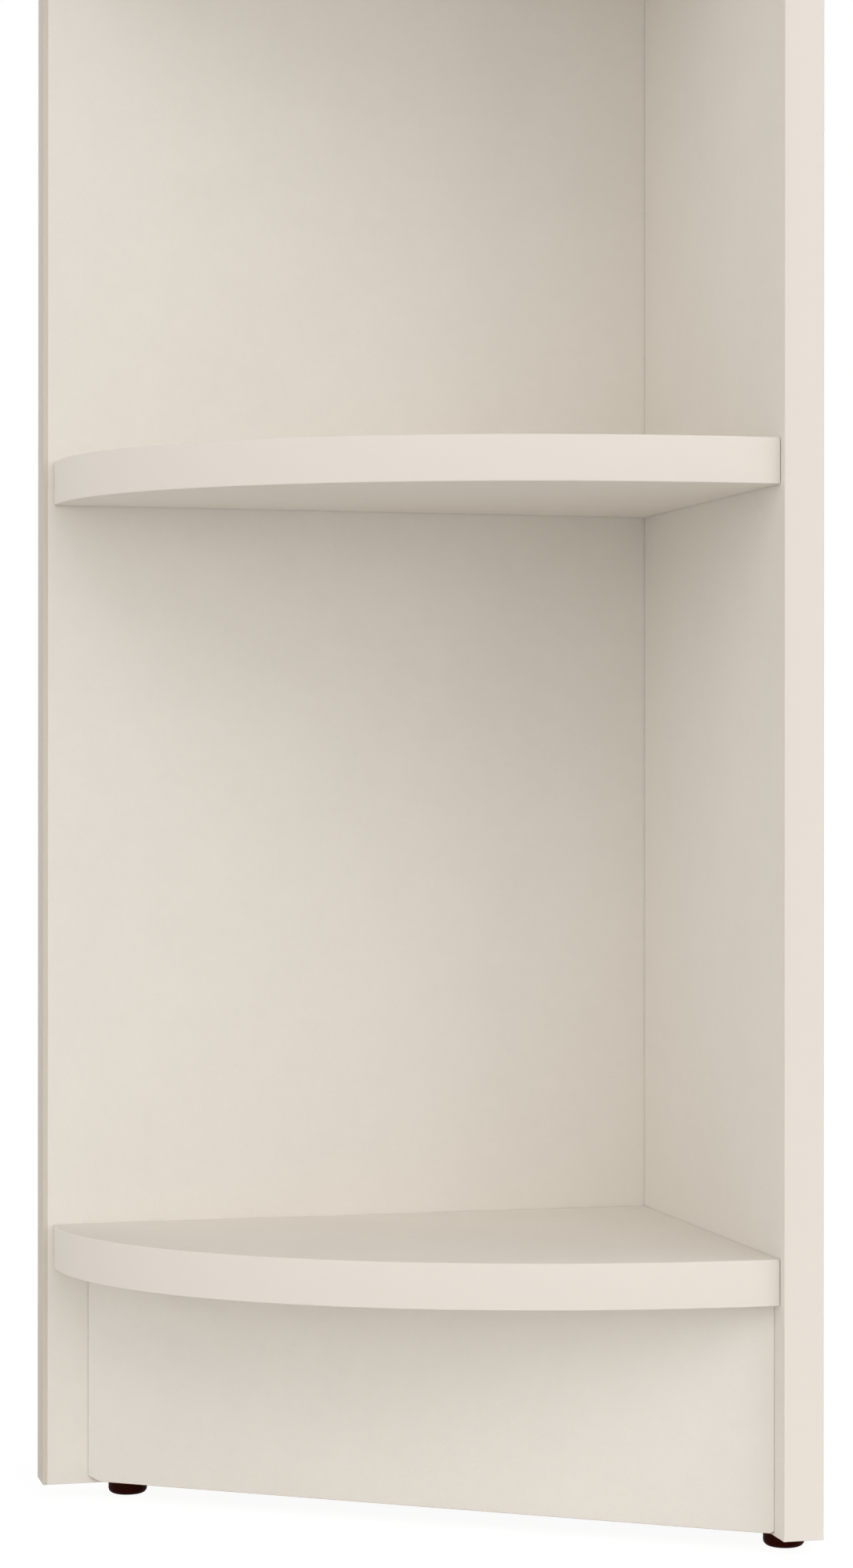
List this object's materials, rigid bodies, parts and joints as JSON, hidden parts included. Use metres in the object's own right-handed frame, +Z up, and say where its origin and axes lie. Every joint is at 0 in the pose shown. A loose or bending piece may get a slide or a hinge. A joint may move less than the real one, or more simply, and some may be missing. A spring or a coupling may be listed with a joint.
{
  "type": "shelf end unit",
  "caption": "Tall end shelf: two upright panels at a right angle carry quarter-ellipse shelves over a straight set-back plinth, on round nail-on glides.",
  "frame": {"origin": "middle of the footprint, on the floor under the glides", "axes": "+Z up; +Y out of the left panel's outer face; +X out of the right panel's outer face; the open front looks to -X and -Y"},
  "size_m": [0.309, 0.211, 1.919],
  "materials": {
    "board": "melamine-faced particle board, plain warm grey-beige, satin",
    "edge_band": "plastic edge band in the board's colour, satin",
    "beech": "bare beech",
    "glide": "dark brown plastic",
    "screw": "zinc-plated steel"
  },
  "bodies": {
    "root": {"left_panel": "board", "right_panel": "board", "left_panel_edge_band": "edge_band", "right_panel_edge_band": "edge_band", "plinth_board": "board", "plinth_block_left": "beech", "plinth_block_right": "beech", "plinth_dowel_left": "beech", "plinth_dowel_right": "beech", "glide_left_front": "glide", "glide_left_rear": "glide", "glide_right_front": "glide", "glide_right_rear": "glide", "corner_screw_1": "screw", "corner_screw_2": "screw", "corner_screw_3": "screw", "corner_screw_4": "screw", "base_shelf": "board", "base_shelf_edge_band": "edge_band", "base_shelf_screw_left_front": "screw", "base_shelf_screw_left_rear": "screw", "base_shelf_screw_right": "screw", "base_shelf_dowel": "beech", "shelf_2": "board", "shelf_2_edge_band": "edge_band", "shelf_2_screw_left_front": "screw", "shelf_2_screw_left_rear": "screw", "shelf_2_screw_right": "screw", "shelf_2_dowel": "beech", "shelf_3": "board", "shelf_3_edge_band": "edge_band", "shelf_3_screw_left_front": "screw", "shelf_3_screw_left_rear": "screw", "shelf_3_screw_right": "screw", "shelf_3_dowel": "beech", "shelf_4": "board", "shelf_4_edge_band": "edge_band", "shelf_4_screw_left_front": "screw", "shelf_4_screw_left_rear": "screw", "shelf_4_screw_right": "screw", "shelf_4_dowel": "beech", "shelf_5": "board", "shelf_5_edge_band": "edge_band", "shelf_5_screw_left_front": "screw", "shelf_5_screw_left_rear": "screw", "shelf_5_screw_right": "screw", "shelf_5_dowel": "beech", "shelf_6": "board", "shelf_6_edge_band": "edge_band", "shelf_6_screw_left_front": "screw", "shelf_6_screw_left_rear": "screw", "shelf_6_screw_right": "screw", "shelf_6_dowel": "beech", "top_board": "board", "top_board_edge_band": "edge_band", "top_board_screw_left_front": "screw", "top_board_screw_left_rear": "screw", "top_board_screw_right": "screw", "top_board_dowel": "beech"}
  },
  "joints": []
}
